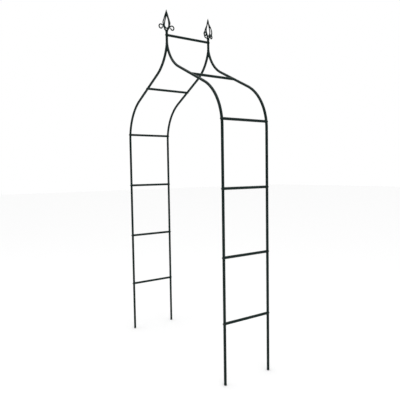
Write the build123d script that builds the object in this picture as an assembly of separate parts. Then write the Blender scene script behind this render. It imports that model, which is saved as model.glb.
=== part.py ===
from build123d import *
import os
from math import acos, asin, cos, degrees, radians, sin, tan

# A free-standing garden trellis arch. Two ogee frames of round steel tube stand one behind
# the other, and level rungs tie them into side ladders that climbing plants are trained on.
# Each rail of a frame is four tubes that plug into each other: leg, post, shoulder, crown arm.
#
# Row frame: +X across the walkway, +Y from the front frame to the back one, +Z up.
# The origin is on the ground, in the middle of the four legs. Millimetres and degrees.

# --- Driving dimensions: the frames ---
POST_SPACING = 1275.0        # across the walkway, post centre to post centre
FRAME_DEPTH = 363.0          # front frame to back frame, tube centre to tube centre
TUBE_OD = 18.0
TUBE_WALL = 1.2
SIDE_RUNG_HEIGHTS = {"lowest": 392.0, "lower": 807.0, "upper": 1234.0, "shoulder": 1659.0}
OGEE_RUNG_HEIGHT = 1989.0
TOP_BAR_HEIGHT = 2317.0
SHOULDER_START = 1617.0      # height at which the post begins to bend inwards
SHOULDER_RADIUS = 333.0
DIAGONAL_LEAN = 63.3         # lean of the straight diagonal away from vertical
CROWN_RADIUS = 290.0
CROWN_OVERRUN = 8.0          # how far past the middle the crown bend would turn upright
STEM_TOP = 2341.0

# --- Driving dimensions: joints and fasteners ---
SPIGOT_LENGTH = 50.0         # swaged tube end inside the next tube, centred on the rung bolt
SPIGOT_GAP = 0.1             # radial gap round a spigot
SWAGE_LENGTH = 3.0           # taper that shows as a groove just before each seam
RIM_BREAK = 0.5              # broken outer edge of the tube rim beyond the groove
BOLT_RADIUS = 3.0            # M6
BOLT_LENGTH = 35.0
BOLT_HOLE_RADIUS = 3.2
BOLT_HEAD_RADIUS = 5.5
BOLT_HEAD_HEIGHT = 2.4
BOLT_HEAD_ROUND = 1.8
HEX_SOCKET_ACROSS_FLATS = 4.0
HEX_SOCKET_DEPTH = 1.6
WASHER_RADIUS = 6.2          # plastic washer, hollowed underneath to sit on the round rail
WASHER_CROWN = 0.6           # its thickness over the middle of the rail
WASHER_HEIGHT = 3.2          # of the disc it is cut from
WASHER_ROUND = 0.4
INSERT_LENGTH = 25.0         # threaded slug in each rung end
INSERT_GAP = 0.05
SADDLE_GAP = 0.05            # between a rung's hollowed end and its rail
SADDLE_TIP_TRIM = 2.5        # the thin tips of a hollowed end are cut back by this much
END_CAP_HEIGHT = 5.0         # plastic cap under each leg
END_CAP_STUB = 15.0
END_CAP_ROUND = 3.0
BASE = (Align.CENTER, Align.CENTER, Align.MIN)     # a solid that stands on its origin

# --- Driving dimensions: the finials, measured from the top of the collar ---
ROD_RADIUS = 4.4
COLLAR_RADIUS = 10.5
COLLAR_HEIGHT = 6.0
COLLAR_ROUND = 1.5
PLUG_LENGTH = 17.0
TIP_HEIGHT = 150.0
TIP_HALF_ANGLE = 19.0
BACK_FINIAL_TURN = 25.0      # a finial only pushes in, so the back one sits turned by hand

SCROLL_FOOT = 5.2            # half spacing of the two scroll arms where they leave the collar
SCROLL_TRIM = 1.0            # the arms' feet are cut back to this far from the middle
SCROLL_RISE = 54.0           # slope of the arms above level
SCROLL_STRAIGHT = 36.0
SCROLL_BENDS = ((24.5, 54.0), (14.6, 90.0), (13.8, 90.0), (12.4, 92.0))   # radius, turn

INNER_LEAF_FLOOR_RADIUS = 14.0
INNER_LEAF_FLANK = 19.0      # straight that lies along the scroll arm
INNER_LEAF_GAP = 0.06        # between the flank and the arm
INNER_LEAF_BELLY_RADIUS = 29.0
INNER_LEAF_LEAN = 19.3       # of the straight side that runs up to the tip
INNER_LEAF_SIDE = 96.0       # long enough to pass the tip, where the leaf is ground off

OUTER_LEAF_FLOOR = 2.0       # flat that rests on the collar, each side of the middle
OUTER_LEAF_FLOOR_RADIUS = 30.0
OUTER_LEAF_BELLY_RADIUS = 97.0
OUTER_LEAF_LEAN = 29.5
OUTER_LEAF_STRAIGHT = 15.4
OUTER_LEAF_NECK_RADIUS = 80.0
OUTER_LEAF_TIP = 18.0        # upright end, long enough to pass the tip

# --- Derived dimensions ---
HALF_SPACING = POST_SPACING / 2
HALF_DEPTH = FRAME_DEPTH / 2
TUBE_RADIUS = TUBE_OD / 2
TUBE_BORE = TUBE_RADIUS - TUBE_WALL
SPIGOT_RADIUS = TUBE_BORE - SPIGOT_GAP
SPIGOT_BORE = SPIGOT_RADIUS - TUBE_WALL
SEAM_DROP = SPIGOT_LENGTH / 2                # a seam sits this far before its rung
LEAN = radians(DIAGONAL_LEAN)
DIAGONAL_FOOT = (
    HALF_SPACING - SHOULDER_RADIUS * (1 - cos(LEAN)),
    SHOULDER_START + SHOULDER_RADIUS * sin(LEAN),
)
DIAGONAL_HEAD_X = CROWN_RADIUS * (1 - cos(LEAN)) - CROWN_OVERRUN
DIAGONAL_HEAD = (
    DIAGONAL_HEAD_X,
    DIAGONAL_FOOT[1] + (DIAGONAL_FOOT[0] - DIAGONAL_HEAD_X) / tan(LEAN),
)
CROWN_CENTRE_HEIGHT = DIAGONAL_HEAD[1] + CROWN_RADIUS * sin(LEAN)
MEETING_LEAN = acos(1 - CROWN_OVERRUN / CROWN_RADIUS)     # lean where the arms meet
STEM_BOTTOM = CROWN_CENTRE_HEIGHT - CROWN_RADIUS * sin(MEETING_LEAN)
COLLAR_TOP = STEM_TOP + COLLAR_HEIGHT
RUNG_LENGTH = FRAME_DEPTH - 2 * SADDLE_TIP_TRIM
RISE = radians(SCROLL_RISE)
FLANK_OFFSET = 2 * ROD_RADIUS + INNER_LEAF_GAP    # centre line of the leaf to that of the arm
INNER_LEAF_BOTTOM = (
    FLANK_OFFSET - SCROLL_FOOT * sin(RISE) + INNER_LEAF_FLOOR_RADIUS * (1 - cos(RISE))
) / cos(RISE)

# The rails are drawn flat, x across and y up, and then stood upright: the drawing's depth
# (z) then runs towards the front of the arch.
STAND = Rot(X=90)
FRAME_SIDES = {"front": HALF_DEPTH, "back": -HALF_DEPTH}
UP = Vector(0, 1)
DIAGONAL = Vector(-sin(LEAN), cos(LEAN))     # right-hand diagonal, climbing inwards


# --- The rail's centre line, right-hand side ---

def on_diagonal(height):
    """Point of the straight diagonal at a height."""
    return Vector(DIAGONAL_FOOT[0] - (height - DIAGONAL_FOOT[1]) * tan(LEAN), height)


def on_post(height):
    """Point of the upright post at a height."""
    return Vector(HALF_SPACING, height)


def on_shoulder(height):
    """Point of the shoulder bend at a height."""
    sine = (height - SHOULDER_START) / SHOULDER_RADIUS
    return Vector(HALF_SPACING - SHOULDER_RADIUS * (1 - (1 - sine**2) ** 0.5), height)


LOWEST_JOINT = on_post(SIDE_RUNG_HEIGHTS["lowest"])
UPPER_JOINT = on_post(SIDE_RUNG_HEIGHTS["upper"])
SHOULDER_STATION = on_shoulder(SIDE_RUNG_HEIGHTS["shoulder"])
OGEE_JOINT = on_diagonal(OGEE_RUNG_HEIGHT)


def shoulder_path(start, end):
    """Straight up from start, round the shoulder and on to end."""
    bend = JernArc(on_post(SHOULDER_START), UP, SHOULDER_RADIUS, DIAGONAL_LEAN)
    return Wire([Edge.make_line(start, bend @ 0), *bend.edges(), Edge.make_line(bend @ 1, end)])


def crown_path(start):
    """Up the diagonal from start and round the crown bend, to just past the middle."""
    turn = DIAGONAL_LEAN - degrees(MEETING_LEAN) / 2
    bend = JernArc(Vector(*DIAGONAL_HEAD), DIAGONAL, CROWN_RADIUS, -turn)
    return Wire([Edge.make_line(start, bend @ 0), *bend.edges()])


# --- Tube work ---

def rod(path, radius):
    """Round bar along a path."""
    section = Plane(origin=path @ 0, z_dir=path % 0) * Circle(radius)
    return sweep(section, path=path)


def tube(path):
    """Round tube along a path."""
    section = Circle(TUBE_RADIUS) - Circle(TUBE_BORE)
    return sweep(Plane(origin=path @ 0, z_dir=path % 0) * section, path=path)


def straight_tube(start, end):
    """Round tube from one point to another."""
    run = end - start
    return ring(start, run.normalized(), run.length, TUBE_RADIUS, TUBE_BORE)


def ring(origin, direction, length, radius, bore):
    """Straight ring that starts at origin and runs along direction."""
    body = Cylinder(radius, length, align=BASE) - Cylinder(bore, length, align=BASE)
    return Plane(origin=origin, z_dir=direction) * body


def swaged_end(seam, direction):
    """Reduced tube end: the taper up to a seam, then the spigot beyond it."""
    taper = Cone(TUBE_RADIUS, SPIGOT_RADIUS, SWAGE_LENGTH, align=BASE)
    taper = taper - Cone(TUBE_BORE, SPIGOT_BORE, SWAGE_LENGTH, align=BASE)
    taper = Plane(origin=seam - direction * SWAGE_LENGTH, z_dir=direction) * taper
    return taper + ring(seam, direction, SPIGOT_LENGTH, SPIGOT_RADIUS, SPIGOT_BORE)


def rim_broken(body, end):
    """Tube with the sharp outer edge of its rim at an end taken off."""
    rims = body.edges().filter_by(GeomType.CIRCLE).filter_by(
        lambda edge: edge.radius > TUBE_BORE and (edge.arc_center - end).length < TUBE_WALL
    )
    return chamfer(rims, RIM_BREAK)


def bolt_hole(point):
    """Drill that crosses a tube from front to back."""
    return Pos(point.X, point.Y) * Cylinder(BOLT_HOLE_RADIUS, 3 * TUBE_OD)


def drilled(solid, *points):
    """Solid with a bolt hole at each point."""
    for point in points:
        solid = solid - bolt_hole(point)
    return solid


def leg():
    """Tube from the end cap to the lowest rung, with a swaged top."""
    seam = LOWEST_JOINT - UP * SEAM_DROP
    body = straight_tube(on_post(END_CAP_HEIGHT), seam - UP * SWAGE_LENGTH)
    return drilled(body + swaged_end(seam, UP), LOWEST_JOINT)


def post():
    """Straight tube between the two lower joints, with a swaged top."""
    foot = LOWEST_JOINT - UP * SEAM_DROP
    seam = UPPER_JOINT - UP * SEAM_DROP
    body = rim_broken(straight_tube(foot, seam - UP * SWAGE_LENGTH), foot)
    stations = (LOWEST_JOINT, on_post(SIDE_RUNG_HEIGHTS["lower"]), UPPER_JOINT)
    return drilled(body + swaged_end(seam, UP), *stations)


def shoulder():
    """Bent tube from the upper side joint, over the shoulder, to the joint on the diagonal."""
    foot = UPPER_JOINT - UP * SEAM_DROP
    seam = OGEE_JOINT - DIAGONAL * SEAM_DROP
    body = rim_broken(tube(shoulder_path(foot, seam - DIAGONAL * SWAGE_LENGTH)), foot)
    stations = (UPPER_JOINT, SHOULDER_STATION, OGEE_JOINT)
    return drilled(body + swaged_end(seam, DIAGONAL), *stations)


def crown_arm():
    """Bent tube up to the stem, mitred where it meets its mirror image."""
    foot = OGEE_JOINT - DIAGONAL * SEAM_DROP
    body = rim_broken(tube(crown_path(foot)), foot)
    keep = Box(
        POST_SPACING, STEM_BOTTOM, 3 * TUBE_OD, align=(Align.MIN, Align.MIN, Align.CENTER)
    )
    return drilled(body & keep, OGEE_JOINT)


def stem():
    """Upright tube on top of the two crown arms: it takes the top bar and the finial."""
    body = ring(Vector(0, STEM_BOTTOM), UP, STEM_TOP - STEM_BOTTOM, TUBE_RADIUS, TUBE_BORE)
    return drilled(body, Vector(0, TOP_BAR_HEIGHT))


def end_cap():
    """Rounded plastic cap, with a stub that pushes into the leg."""
    foot = on_post(0)
    cap = extrude(Plane(origin=foot, z_dir=UP) * Circle(TUBE_RADIUS), END_CAP_HEIGHT)
    rim = cap.edges().filter_by(GeomType.CIRCLE).sort_by(Axis.Y)[0]
    cap = fillet(rim, END_CAP_ROUND)
    stub_start = on_post(END_CAP_HEIGHT)
    stub = extrude(Plane(origin=stub_start, z_dir=UP) * Circle(SPIGOT_RADIUS), END_CAP_STUB)
    return cap + stub


# --- Rungs and their fasteners ---

def saddle(point, direction):
    """Outline of the rail that a rung end is shaped to fit, with a paint's thickness to spare."""
    body = Cylinder(TUBE_RADIUS + SADDLE_GAP, 4 * TUBE_OD)
    return Plane(origin=point, z_dir=direction) * body


def rung(point, direction):
    """Tube from front to back, with both ends hollowed to fit round the rails."""
    body = Cylinder(TUBE_RADIUS, RUNG_LENGTH) - Cylinder(TUBE_BORE, RUNG_LENGTH)
    body = Pos(point.X, point.Y) * body
    for depth in FRAME_SIDES.values():
        body = body - Pos(Z=depth) * saddle(point, direction)
    return body


def insert(point, direction):
    """Threaded slug flush with the front end of a rung."""
    slug = Cylinder(
        TUBE_BORE - INSERT_GAP, INSERT_LENGTH, align=(Align.CENTER, Align.CENTER, Align.MAX)
    )
    bore = Cylinder(BOLT_RADIUS, 2 * INSERT_LENGTH)
    slug = Pos(point.X, point.Y, RUNG_LENGTH / 2) * (slug - bore)
    return slug - Pos(Z=HALF_DEPTH) * saddle(point, direction)


def bolt():
    """Button-head bolt along +z, with the underside of its head at z = 0."""
    head = Cylinder(BOLT_HEAD_RADIUS, BOLT_HEAD_HEIGHT, align=BASE)
    crown = head.edges().filter_by(GeomType.CIRCLE).sort_by(Axis.Z)[-1]
    head = fillet(crown, BOLT_HEAD_ROUND)
    hexagon = RegularPolygon(HEX_SOCKET_ACROSS_FLATS / 2, 6, major_radius=False)
    socket = Pos(Z=BOLT_HEAD_HEIGHT - HEX_SOCKET_DEPTH) * extrude(hexagon, HEX_SOCKET_DEPTH)
    shank = Cylinder(BOLT_RADIUS, BOLT_LENGTH, align=(Align.CENTER, Align.CENTER, Align.MAX))
    return head - socket + shank


def washer(point, direction):
    """Washer between a bolt head and the front of a rail."""
    disc = Cylinder(
        WASHER_RADIUS, WASHER_HEIGHT, align=(Align.CENTER, Align.CENTER, Align.MAX)
    )
    disc = fillet(disc.edges().filter_by(GeomType.CIRCLE).sort_by(Axis.Z)[-1], WASHER_ROUND)
    disc = disc - Cylinder(BOLT_HOLE_RADIUS, 2 * WASHER_HEIGHT)
    disc = Pos(point.X, point.Y, HALF_DEPTH + TUBE_RADIUS + WASHER_CROWN) * disc
    return disc - Pos(Z=HALF_DEPTH) * saddle(point, direction)


# --- Finials, drawn flat like the rails, with y = 0 at the top of the collar ---

def chain(start, direction, *moves):
    """Wire of tangent moves: ("line", length) or ("arc", radius, turn)."""
    edges = []
    for kind, *size in moves:
        if kind == "line":
            edge = Edge.make_line(start, start + direction * size[0])
        else:
            edge = JernArc(start, direction, *size).edge()
        edges.append(edge)
        start, direction = edge @ 1, edge % 1
    return Wire(edges)


def finial_plug():
    """Collar on the stem, with a plug that pushes down into it."""
    down = Cylinder(TUBE_BORE - INSERT_GAP, PLUG_LENGTH, align=BASE)
    collar = Cylinder(COLLAR_RADIUS, COLLAR_HEIGHT, align=BASE)
    collar = fillet(collar.edges().filter_by(GeomType.CIRCLE), COLLAR_ROUND)
    stack = Pos(Z=-COLLAR_HEIGHT - PLUG_LENGTH) * down + Pos(Z=-COLLAR_HEIGHT) * collar
    return Rot(X=-90) * stack


def scroll():
    """Right-hand arm that rises from the collar and curls over into an open ring."""
    bends = [("arc", radius, -turn) for radius, turn in SCROLL_BENDS]
    direction = Vector(cos(RISE), sin(RISE))
    foot = Vector(SCROLL_FOOT, 0) - direction * ROD_RADIUS     # so the cut end is level
    path = chain(foot, direction, ("line", SCROLL_STRAIGHT + ROD_RADIUS), *bends)
    keep = Box(TIP_HEIGHT, TIP_HEIGHT, TUBE_OD, align=(Align.MIN, Align.MIN, Align.CENTER))
    return rod(path, ROD_RADIUS) & Pos(SCROLL_TRIM, 0) * keep


def below_tip(solid):
    """Solid ground to a point at the finial's tip."""
    cone = Cone(TIP_HEIGHT * tan(radians(TIP_HALF_ANGLE)), 0, TIP_HEIGHT, align=BASE)
    return solid & (Rot(X=-90) * cone)


def leaf(half_path):
    """Closed loop of rod from the path of its right-hand half."""
    half = rod(half_path, ROD_RADIUS)
    return below_tip(half + mirror(half, about=Plane.YZ))


def inner_leaf():
    """Leaf loop that nests between the scroll arms, with straight sides up to the tip."""
    return leaf(
        chain(
            Vector(0, INNER_LEAF_BOTTOM),
            Vector(1, 0),
            ("arc", INNER_LEAF_FLOOR_RADIUS, SCROLL_RISE),
            ("line", INNER_LEAF_FLANK),
            ("arc", INNER_LEAF_BELLY_RADIUS, 90.0 - SCROLL_RISE + INNER_LEAF_LEAN),
            ("line", INNER_LEAF_SIDE),
        )
    )


def outer_leaf():
    """Leaf loop that stands on the collar, with sides that draw together into a long tip."""
    return leaf(
        chain(
            Vector(0, ROD_RADIUS),
            Vector(1, 0),
            ("line", OUTER_LEAF_FLOOR),
            ("arc", OUTER_LEAF_FLOOR_RADIUS, 90.0),
            ("arc", OUTER_LEAF_BELLY_RADIUS, OUTER_LEAF_LEAN),
            ("line", OUTER_LEAF_STRAIGHT),
            ("arc", OUTER_LEAF_NECK_RADIUS, -OUTER_LEAF_LEAN),
            ("line", OUTER_LEAF_TIP),
        )
    )


# --- Assembly ---

def left_and_right(name, solid):
    """A right-hand piece and its mirror image, by name."""
    return {f"{name}_left": mirror(solid, about=Plane.YZ), f"{name}_right": solid}


def frame_nodes():
    """Every piece of the two ogee frames."""
    handed = {"end_cap": end_cap(), "leg": leg(), "post": post()}
    handed |= {"shoulder": shoulder(), "crown_arm": crown_arm()}
    nodes = {}
    for side, depth in FRAME_SIDES.items():
        for name, solid in handed.items():
            for full_name, piece in left_and_right(f"{name}_{side}", solid).items():
                nodes[full_name] = STAND * Pos(Z=depth) * piece
        nodes[f"stem_{side}"] = STAND * Pos(Z=depth) * stem()
    return nodes


def rung_stations():
    """Where each right-hand or middle rung meets its rail, and the rail's direction there."""
    bend = asin((SIDE_RUNG_HEIGHTS["shoulder"] - SHOULDER_START) / SHOULDER_RADIUS)
    return {
        "lowest_rung": (LOWEST_JOINT, UP),
        "lower_rung": (on_post(SIDE_RUNG_HEIGHTS["lower"]), UP),
        "upper_rung": (UPPER_JOINT, UP),
        "shoulder_rung": (SHOULDER_STATION, Vector(-sin(bend), cos(bend))),
        "ogee_rung": (OGEE_JOINT, DIAGONAL),
        "top_bar": (Vector(0, TOP_BAR_HEIGHT), UP),
    }


def rung_nodes():
    """The rungs, and the bolts, washers and inserts at their ends."""
    nodes = {}
    fixings = {"rung_inserts": [], "rung_washers": [], "rung_bolts": []}
    for name, (point, direction) in rung_stations().items():
        head_seat = Pos(point.X, point.Y, HALF_DEPTH + TUBE_RADIUS + WASHER_CROWN)
        first = {
            "rung_inserts": insert(point, direction),
            "rung_washers": washer(point, direction),
            "rung_bolts": head_seat * bolt(),
        }
        beside_walkway = point.X > 0
        if beside_walkway:
            nodes |= left_and_right(name, rung(point, direction))
        else:
            nodes[name] = rung(point, direction)
        for kind, piece in first.items():
            pieces = [piece, mirror(piece, about=Plane.XY)]
            if beside_walkway:
                pieces += [mirror(other, about=Plane.YZ) for other in pieces]
            fixings[kind] += [other.solid() for other in pieces]
    nodes |= {kind: Compound(children=solids) for kind, solids in fixings.items()}
    return {name: STAND * solid for name, solid in nodes.items()}


def finial_nodes():
    """Both finials: collar plug, two crossing leaf loops and two scrolls."""
    across = inner_leaf()
    along = Rot(Y=90) * outer_leaf() - across
    curl = scroll() - across - along
    pieces = {
        "plug": finial_plug(),
        "inner_leaf": across,
        "outer_leaf": along,
        "scroll_left": mirror(curl, about=Plane.YZ),
        "scroll_right": curl,
    }
    turns = {"front": 0.0, "back": BACK_FINIAL_TURN}
    nodes = {}
    for side, depth in FRAME_SIDES.items():
        place = Pos(0, -depth, COLLAR_TOP) * Rot(Z=90.0 + turns[side]) * STAND
        for name, solid in pieces.items():
            nodes[f"finial_{side}_{name}"] = place * solid
    return nodes


def main():
    os.makedirs("parts", exist_ok=True)
    for name, shape in (frame_nodes() | rung_nodes() | finial_nodes()).items():
        export_step(shape, f"parts/{name}.step")


if __name__ == "__main__":
    main()
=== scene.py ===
from math import atan2, cos, pi, radians, sin

import bmesh
import bpy
from mathutils import Matrix, Vector


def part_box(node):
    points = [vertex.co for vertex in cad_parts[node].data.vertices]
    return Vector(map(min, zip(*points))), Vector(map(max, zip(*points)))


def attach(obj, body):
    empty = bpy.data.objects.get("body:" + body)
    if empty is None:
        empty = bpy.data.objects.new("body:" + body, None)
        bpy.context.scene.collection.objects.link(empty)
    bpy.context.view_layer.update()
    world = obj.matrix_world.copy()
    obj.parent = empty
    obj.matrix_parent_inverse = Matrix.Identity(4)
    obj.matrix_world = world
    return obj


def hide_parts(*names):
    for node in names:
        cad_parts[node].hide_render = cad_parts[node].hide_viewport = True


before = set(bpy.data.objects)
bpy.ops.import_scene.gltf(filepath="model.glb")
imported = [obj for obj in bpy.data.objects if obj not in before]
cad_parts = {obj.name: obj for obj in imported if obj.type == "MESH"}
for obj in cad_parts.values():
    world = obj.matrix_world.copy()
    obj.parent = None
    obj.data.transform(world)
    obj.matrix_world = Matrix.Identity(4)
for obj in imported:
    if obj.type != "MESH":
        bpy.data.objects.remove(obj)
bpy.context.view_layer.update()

# A garden trellis arch of powder-coated steel tube. The tubes, rungs, fasteners and finials are
# the CAD nodes themselves with procedural finishes. Weld beads are added to them, and a fluted
# cap stands for the plain one under each leg. Metres, +Z up, origin on the ground.

# --- Places read from the frame ---


def middle(node):
    """Centre of a CAD node's box."""
    low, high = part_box(node)
    return (low + high) / 2


POST_SPACING = 2 * middle("post_front_right").x

# --- Camera and studio ---
CAMERA_PLACE = Vector((2.180, -1.424, 1.048))     # in post spacings
CAMERA_AZIMUTH = 55.66                            # degrees round from the front
CAMERA_ELEVATION = 3.60
CAMERA_ROLL = -0.91
CAMERA_LENS = 39.72                               # millimetres
SENSOR_WIDTH = 36.0                               # millimetres
FLOOR_SIZE = 60.0
FLOOR_WHITE = 0.90
FLOOR_ROUGHNESS = 0.9
SKY_SEEN = 1.0                                    # what the camera sees past the floor
SKY_LIGHT = 0.20                                  # what lights the arch
CEILING_LIGHT = 2.85
CEILING_WIDTH = 100.0                             # degrees across
LIGHT_TARGET = (0.0, 0.0, 1.2)                    # about the middle of the arch
SOFT_BOX_SIZE = 2.0
KEY_PLACE = (4.5, -1.0, 3.2)
KEY_POWER = 30.0
FILL_PLACE = (-1.5, -4.5, 2.4)
FILL_POWER = 20.0


def make_camera():
    """Camera at the angle of view that the arch is judged from."""
    data = bpy.data.cameras.new("camera")
    data.lens = CAMERA_LENS
    data.sensor_width = SENSOR_WIDTH
    data.clip_end = 2 * FLOOR_SIZE
    camera = bpy.data.objects.new("camera", data)
    bpy.context.collection.objects.link(camera)
    turn = Matrix.Rotation(radians(CAMERA_AZIMUTH), 4, "Z")
    tilt = Matrix.Rotation(radians(90.0 - CAMERA_ELEVATION), 4, "X")
    roll = Matrix.Rotation(radians(CAMERA_ROLL), 4, "Z")
    camera.matrix_world = Matrix.Translation(CAMERA_PLACE * POST_SPACING) @ turn @ tilt @ roll
    bpy.context.scene.camera = camera


def make_sky():
    """White behind the arch, and a dimmer even light round it."""
    world = bpy.data.worlds.new("studio")
    bpy.context.scene.world = world
    world.use_nodes = True
    tree = world.node_tree
    tree.nodes.clear()
    seen = tree.nodes.new("ShaderNodeBackground")
    seen.inputs["Strength"].default_value = SKY_SEEN
    lit = tree.nodes.new("ShaderNodeBackground")
    lit.inputs["Strength"].default_value = SKY_LIGHT
    for node in (seen, lit):
        node.inputs["Color"].default_value = (1.0, 1.0, 1.0, 1.0)
    rays = tree.nodes.new("ShaderNodeLightPath")
    mix = tree.nodes.new("ShaderNodeMixShader")
    out = tree.nodes.new("ShaderNodeOutputWorld")
    tree.links.new(rays.outputs["Is Camera Ray"], mix.inputs["Fac"])
    tree.links.new(lit.outputs[0], mix.inputs[1])
    tree.links.new(seen.outputs[0], mix.inputs[2])
    tree.links.new(mix.outputs[0], out.inputs["Surface"])


def soft_box(name, place, power):
    """Square area light that points at the arch, with its power in watts."""
    data = bpy.data.lights.new(name, "AREA")
    data.shape = "SQUARE"
    data.size = SOFT_BOX_SIZE
    data.energy = power
    light = bpy.data.objects.new(name, data)
    bpy.context.collection.objects.link(light)
    light.location = place
    aim = Vector(LIGHT_TARGET) - Vector(place)
    light.rotation_euler = aim.to_track_quat("-Z", "Y").to_euler()


def make_lights():
    """A wide soft ceiling of light, and a key and a fill soft box."""
    data = bpy.data.lights.new("ceiling", "SUN")
    data.energy = CEILING_LIGHT
    data.angle = radians(CEILING_WIDTH)
    ceiling = bpy.data.objects.new("ceiling", data)
    bpy.context.collection.objects.link(ceiling)
    soft_box("key", KEY_PLACE, KEY_POWER)
    soft_box("fill", FILL_PLACE, FILL_POWER)


def make_floor():
    """Plain pale floor."""
    mesh = bpy.data.meshes.new("floor")
    half = FLOOR_SIZE / 2
    corners = [(-half, -half, 0.0), (half, -half, 0.0), (half, half, 0.0), (-half, half, 0.0)]
    mesh.from_pydata(corners, [], [(0, 1, 2, 3)])
    floor = bpy.data.objects.new("floor", mesh)
    bpy.context.collection.objects.link(floor)
    material = bpy.data.materials.new("floor")
    material.use_nodes = True
    shader = material.node_tree.nodes["Principled BSDF"]
    shader.inputs["Base Color"].default_value = (FLOOR_WHITE, FLOOR_WHITE, FLOOR_WHITE, 1.0)
    shader.inputs["Roughness"].default_value = FLOOR_ROUGHNESS
    mesh.materials.append(material)


# --- Materials ---
COAT_DARK = (0.0026, 0.0103, 0.0086)
COAT_LIGHT = (0.0056, 0.0178, 0.0150)
COAT_GLOSS = (0.30, 0.42)                         # roughness of its glossier and duller patches
BOLT_GLOSS = (0.24, 0.34)
COAT_SPECULAR = 0.14
COLOUR_SPAN = (0.35, 0.65)                        # stretch of the noise that the colours fill
GLOSS_SPAN = (0.3, 0.7)                           # and the one that the roughness fills
PLAIN_DETAIL = 3.0                                # octaves of noise


def noise(tree, scale, detail):
    """Noise in the arch's own frame, with scale in patches to a metre."""
    place = tree.nodes.new("ShaderNodeTexCoord")
    node = tree.nodes.new("ShaderNodeTexNoise")
    node.inputs["Scale"].default_value = scale
    node.inputs["Detail"].default_value = detail
    tree.links.new(place.outputs["Object"], node.inputs["Vector"])
    return node.outputs["Fac"]


def ramp(tree, factor, colours):
    """Colour that runs from the first of two colours to the second over COLOUR_SPAN."""
    node = tree.nodes.new("ShaderNodeValToRGB")
    for element, position, colour in zip(node.color_ramp.elements, COLOUR_SPAN, colours):
        element.position = position
        element.color = (*colour, 1.0)
    tree.links.new(factor, node.inputs["Fac"])
    return node.outputs["Color"]


def spread(tree, value, limits):
    """Value within GLOSS_SPAN, spread from the lower limit to the upper one."""
    node = tree.nodes.new("ShaderNodeMapRange")
    node.inputs["From Min"].default_value, node.inputs["From Max"].default_value = GLOSS_SPAN
    node.inputs["To Min"].default_value, node.inputs["To Max"].default_value = limits
    tree.links.new(value, node.inputs["Value"])
    return node.outputs["Result"]


def bump(tree, shader, height, distance, strength):
    """Bump on the shader from a height."""
    node = tree.nodes.new("ShaderNodeBump")
    node.inputs["Distance"].default_value = distance
    node.inputs["Strength"].default_value = strength
    tree.links.new(height, node.inputs["Height"])
    tree.links.new(node.outputs["Normal"], shader.inputs["Normal"])


def finish(
    name,
    colours,
    mottle,
    patches,
    gloss,
    grain,
    depth,
    strength,
    mottle_detail=PLAIN_DETAIL,
    grain_detail=PLAIN_DETAIL,
):
    """Material with a mottled colour, glossier patches and a fine grain, and its shader."""
    material = bpy.data.materials.new(name)
    material.use_nodes = True
    tree = material.node_tree
    shader = tree.nodes["Principled BSDF"]
    colour = ramp(tree, noise(tree, mottle, mottle_detail), colours)
    tree.links.new(colour, shader.inputs["Base Color"])
    roughness = spread(tree, noise(tree, patches, PLAIN_DETAIL), gloss)
    tree.links.new(roughness, shader.inputs["Roughness"])
    bump(tree, shader, noise(tree, grain, grain_detail), depth, strength)
    return material, shader


def powder_coat(name, gloss):
    """Baked green-black powder coat with a fine orange peel."""
    material, shader = finish(
        name,
        (COAT_DARK, COAT_LIGHT),
        mottle=22.0,
        mottle_detail=5.0,
        patches=60.0,
        gloss=gloss,
        grain=900.0,
        grain_detail=2.0,
        depth=0.0003,
        strength=0.35,
    )
    shader.inputs["Specular IOR Level"].default_value = COAT_SPECULAR
    return material


def zinc_steel():
    """Plain zinc-plated steel of the threaded inserts."""
    material, shader = finish(
        "insert_steel",
        ((0.42, 0.43, 0.44), (0.58, 0.58, 0.57)),
        mottle=140.0,
        patches=400.0,
        gloss=(0.28, 0.45),
        grain=1500.0,
        depth=0.0001,
        strength=0.3,
    )
    shader.inputs["Metallic"].default_value = 1.0
    return material


def cap_plastic():
    """Matte black plastic of the leg caps and washers."""
    return finish(
        "cap_plastic",
        ((0.008, 0.009, 0.009), (0.014, 0.015, 0.015)),
        mottle=90.0,
        patches=300.0,
        gloss=(0.45, 0.6),
        grain=2200.0,
        depth=0.0001,
        strength=0.4,
    )[0]


# --- Weld beads ---
BEAD_SIDES = 12
BEAD_STEPS = 8                # rings to a ripple
BEAD_RIPPLE = 0.0021          # from one ripple of a bead to the next
BEAD_NECK = 0.88              # bead between two ripples, as a share of its full radius
BEAD_END = 0.35               # bead at its two ends, as a share of its full radius
BEAD_END_RINGS = 16           # rings over which an end tapers
BEAD_WOBBLE = ((0.07, 0.061, 0.0), (0.04, 0.163, 1.0))     # share of radius, turn a ring, start
RELAX_PASSES = 8              # times that a bead's line is smoothed
SHORTEST = 1e-9               # keeps a division off zero
LEVEL_POINTS = 72             # points round the foot of a stem
STEM_BEAD = 0.0024            # bead radii
STEM_BEAD_SUNK = 0.0009       # how far the middle of the stem's bead lies inside the tube
ROD_BEAD = 0.0015
ON_PLANE = 0.00002            # how near a corner is to a plane that it counts as being on
FINIAL_ROD = 0.0044           # radius of the finial rods
ARM_RISE = radians(54.0)      # slope of the scroll arms
ARM_FOOT = 0.0052             # from the finial's axis to the foot of an arm's centre line
FLANK_WELD = (0.024, 0.035)   # stretch of an arm that the inner leaf is welded to
GROOVE_DEPTH = 0.0036         # from the middle of the groove between two rods to its bead
FOOT_WELD_SIDE = 0.0040       # from the middle of the outer leaf's rod to its bead
FOOT_WELD_HALF = 0.0075       # half the length of that bead


def level_circle(centre, radius):
    """Points round a level circle."""
    angles = [2 * pi * step / LEVEL_POINTS for step in range(LEVEL_POINTS)]
    return [centre + Vector((cos(angle), sin(angle), 0.0)) * radius for angle in angles]


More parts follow.
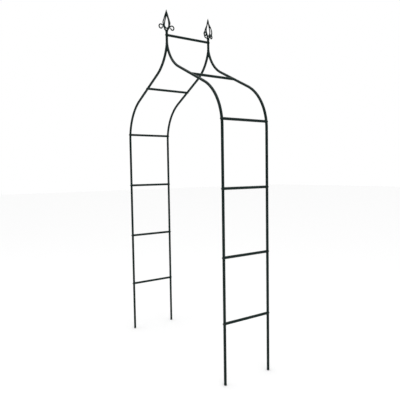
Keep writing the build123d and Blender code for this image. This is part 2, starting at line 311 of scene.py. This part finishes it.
def spaced(points, step):
    """Points a step apart along a line of points."""
    run = [0.0]
    for before, after in zip(points, points[1:]):
        run.append(run[-1] + (after - before).length)
    count = max(2, round(run[-1] / step))
    result = []
    piece = 0
    for index in range(count + 1):
        along = run[-1] * index / count
        while piece < len(points) - 2 and run[piece + 1] < along:
            piece += 1
        share = (along - run[piece]) / max(run[piece + 1] - run[piece], SHORTEST)
        result.append(points[piece].lerp(points[piece + 1], min(share, 1.0)))
    return result


def relaxed(line, closed):
    """Line of points with its small corners rounded off."""
    count = len(line)
    for _ in range(RELAX_PASSES):
        inner = range(count) if closed else range(1, count - 1)
        moved = {i: (line[i - 1] + line[i] * 2 + line[(i + 1) % count]) / 4 for i in inner}
        line = [moved.get(i, line[i]) for i in range(count)]
    return line


def direction_at(line, index, closed):
    """Direction of a line of points at one of them."""
    if closed:
        ahead, behind = line[(index + 1) % len(line)], line[index - 1]
    else:
        ahead, behind = line[min(index + 1, len(line) - 1)], line[max(index - 1, 0)]
    return (ahead - behind).normalized()


def bead_size(index, count, closed):
    """Radius of one ring as a share of the bead's: rippled, uneven, and thinner at an end."""
    ripple = BEAD_NECK + (1 - BEAD_NECK) * abs(sin(pi * index / BEAD_STEPS))
    wobble = sum(share * sin(rate * index + start) for share, rate, start in BEAD_WOBBLE)
    size = ripple * (1 + wobble)
    if not closed:
        from_end = min(index, count - 1 - index) / BEAD_END_RINGS
        size *= BEAD_END + (1 - BEAD_END) * min(from_end, 1.0) ** 0.5
    return size


def join_rings(mesh, pairs):
    """Faces between the rings of each pair."""
    for ring, following in pairs:
        for step in range(len(ring)):
            nearby = (step + 1) % len(ring)
            mesh.faces.new((ring[step], ring[nearby], following[nearby], following[step]))


def close_ends(mesh, rings):
    """Flat faces over the first ring and the last one."""
    mesh.faces.new(list(reversed(rings[0])))
    mesh.faces.new(rings[-1])


def weld_bead(name, points, radius, closed, material):
    """Rippled bead of weld metal along a line of points."""
    if closed:
        points = points + points[:1]
    line = spaced(points, BEAD_RIPPLE / BEAD_STEPS)
    if closed:
        line = line[:-1]
    line = relaxed(line, closed)
    turns = [2 * pi * side / BEAD_SIDES for side in range(BEAD_SIDES)]
    mesh = bmesh.new()
    rings = []
    across = None
    for index, centre in enumerate(line):
        along = direction_at(line, index, closed)
        if across is None:
            across = along.orthogonal().normalized()
        across = (across - along * across.dot(along)).normalized()
        other = along.cross(across)
        size = radius * bead_size(index, len(line), closed)
        rings.append(
            [mesh.verts.new(centre + (across * cos(t) + other * sin(t)) * size) for t in turns]
        )
    pairs = list(zip(rings, rings[1:]))
    if closed:
        pairs.append((rings[-1], nearest_start(rings[-1], rings[0])))
    join_rings(mesh, pairs)
    if not closed:
        close_ends(mesh, rings)
    new_piece(name, mesh, material)


def nearest_start(ring, target):
    """Target ring, turned to begin at the point nearest to the ring's first one."""
    gaps = [(vert.co - ring[0].co).length for vert in target]
    start = gaps.index(min(gaps))
    return target[start:] + target[:start]


def new_piece(name, mesh, material):
    """Smooth-shaded object from a bmesh, riding on the arch."""
    bmesh.ops.recalc_face_normals(mesh, faces=mesh.faces)
    data = bpy.data.meshes.new(name)
    mesh.to_mesh(data)
    mesh.free()
    for face in data.polygons:
        face.use_smooth = True
    piece = bpy.data.objects.new(name, data)
    bpy.context.collection.objects.link(piece)
    data.materials.append(material)
    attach(piece, "root")
    return piece


def points_of(node):
    """Corners of a CAD node's mesh."""
    return [corner.co.copy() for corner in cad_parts[node].data.vertices]


def on_level(points, height):
    """The points that lie at a height."""
    return [point for point in points if abs(point.z - height) < ON_PLANE]


def round_middle(points):
    """Points in order round their middle, seen from above."""
    centre = sum(points, Vector()) / len(points)
    return sorted(points, key=lambda point: atan2(point.y - centre.y, point.x - centre.x))


def lower_edge(points):
    """Convex lower edge, by y, of points in an upright plane."""
    edge = []
    for point in sorted(points, key=lambda point: (point.y, point.z)):
        while len(edge) > 1:
            step, reach = edge[-1] - edge[-2], point - edge[-2]
            if step.y * reach.z > step.z * reach.y:
                break
            edge.pop()
        edge.append(point)
    return edge


def stem_welds(side, material):
    """Welds round the foot of a stem, and down the crotch between its two crown arms."""
    low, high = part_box(f"stem_{side}")
    foot = Vector((0.0, (low.y + high.y) / 2, low.z))
    ring = level_circle(foot, high.x - STEM_BEAD_SUNK)
    weld_bead(f"weld_stem_{side}", ring, STEM_BEAD, True, material)
    seam = [p for p in points_of(f"crown_arm_{side}_right") if abs(p.x) < ON_PLANE]
    weld_bead(f"weld_crotch_{side}", lower_edge(seam), STEM_BEAD, False, material)


def finial_welds(side, material):
    """Welds at the feet of a finial's rods, and where its inner leaf lies along the scrolls."""
    collar_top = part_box(f"finial_{side}_plug")[1].z
    axis = middle(f"finial_{side}_plug")
    axis.z = collar_top
    right = middle(f"finial_{side}_scroll_right") - axis
    right.z = 0.0
    right.normalize()
    up = Vector((0.0, 0.0, 1.0))
    front = right.cross(up)
    for hand, outward in (("left", -right), ("right", right)):
        foot = on_level(points_of(f"finial_{side}_scroll_{hand}"), collar_top)
        weld_bead(
            f"weld_scroll_foot_{side}_{hand}", round_middle(foot), ROD_BEAD, True, material
        )
        along = outward * cos(ARM_RISE) + up * sin(ARM_RISE)
        inward = up * cos(ARM_RISE) - outward * sin(ARM_RISE)
        groove = axis + outward * ARM_FOOT + inward * FINIAL_ROD
        for face, reach in (("front", GROOVE_DEPTH), ("back", -GROOVE_DEPTH)):
            ends = [groove + along * place + front * reach for place in FLANK_WELD]
            weld_bead(f"weld_flank_{side}_{hand}_{face}", ends, ROD_BEAD, False, material)
    for face, reach in (("left", -FOOT_WELD_SIDE), ("right", FOOT_WELD_SIDE)):
        centre = axis + right * reach + up * ROD_BEAD / 2
        ends = [centre - front * FOOT_WELD_HALF, centre + front * FOOT_WELD_HALF]
        weld_bead(f"weld_leaf_foot_{side}_{face}", ends, ROD_BEAD, False, material)


# --- Leg caps ---
CAP_HEIGHT = 0.005            # part of the cap below the leg
CAP_ROUND = 0.003             # of its lower edge
CAP_ROUND_STEPS = 8
UNDERSIDE_RING = 0.7          # ring of corners between dimple and round, as a share of the flat
CAP_EDGE = 0.00014            # of the cap's broken upper edge
FLUTES = 32
FLUTE_STEPS = 8               # corners to a flute
FLUTE_DEPTH = 0.0003
FLUTE_FULL = 0.0014           # from the cap's top down to where the flutes reach full depth
FLUTE_END = 0.00105           # and down to where they end
GATE_RADIUS = 0.0016          # dimple that the moulding leaves under the cap
GATE_DEPTH = 0.0004
GATE_PROFILE = ((0.25, 1.0), (0.8, 0.8), (1.0, 0.0), (1.3, 0.0))     # shares of radius and depth
STUB_SLACK = 0.0014           # from the cap's rim in to the stub


def cap_rings(radius, top):
    """Radius, height and flute depth of each ring of a cap, from the dimple below it upwards."""
    flat = radius - CAP_ROUND
    rings = [(GATE_RADIUS * wide, GATE_DEPTH * deep, 0.0) for wide, deep in GATE_PROFILE]
    rings.append((flat * UNDERSIDE_RING, 0.0, 0.0))
    for step in range(CAP_ROUND_STEPS + 1):
        angle = pi / 2 * step / CAP_ROUND_STEPS
        flute = FLUTE_DEPTH if step > CAP_ROUND_STEPS / 2 else 0.0
        rings.append((flat + CAP_ROUND * sin(angle), CAP_ROUND * (1 - cos(angle)), flute))
    return rings + [
        (radius, CAP_HEIGHT - FLUTE_FULL, FLUTE_DEPTH),
        (radius, CAP_HEIGHT - FLUTE_END, 0.0),
        (radius, CAP_HEIGHT - CAP_EDGE, 0.0),
        (radius - CAP_EDGE, CAP_HEIGHT, 0.0),
        (radius - STUB_SLACK, CAP_HEIGHT, 0.0),
        (radius - STUB_SLACK, top, 0.0),
    ]


def leg_cap(leg, material):
    """Moulded cap with a fluted side, in place of the plain one under a leg."""
    low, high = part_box(f"end_cap_{leg}")
    centre = Vector(((low.x + high.x) / 2, (low.y + high.y) / 2, low.z))
    mesh = bmesh.new()
    count = FLUTES * FLUTE_STEPS
    rings = []
    for radius, height, flute in cap_rings((high.x - low.x) / 2, high.z - low.z):
        ring = []
        for step in range(count):
            angle = 2 * pi * step / count
            reach = radius - flute * (1 - abs(cos(FLUTES / 2 * angle)))
            place = centre + Vector((cos(angle) * reach, sin(angle) * reach, height))
            ring.append(mesh.verts.new(place))
        rings.append(ring)
    join_rings(mesh, zip(rings, rings[1:]))
    close_ends(mesh, rings)
    cap = new_piece(f"leg_cap_{leg}", mesh, material)
    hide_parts(f"end_cap_{leg}")


def finish_cad_nodes():
    """Give each CAD node the finish of its material slot, and return the finishes."""
    finishes = {
        "powder_coat": powder_coat("powder_coat", COAT_GLOSS),
        "bolt_paint": powder_coat("bolt_paint", BOLT_GLOSS),
        "insert_steel": zinc_steel(),
        "cap_plastic": cap_plastic(),
    }
    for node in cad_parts.values():
        for slot in node.material_slots:
            slot.material = finishes[slot.material.name.split(".")[0]]
    return finishes


make_camera()
make_sky()
make_lights()
make_floor()
finishes = finish_cad_nodes()
for leg in ("front_left", "front_right", "back_left", "back_right"):
    leg_cap(leg, finishes["cap_plastic"])
for side in ("front", "back"):
    stem_welds(side, finishes["powder_coat"])
    finial_welds(side, finishes["powder_coat"])
bpy.context.scene.view_settings.view_transform = "Standard"
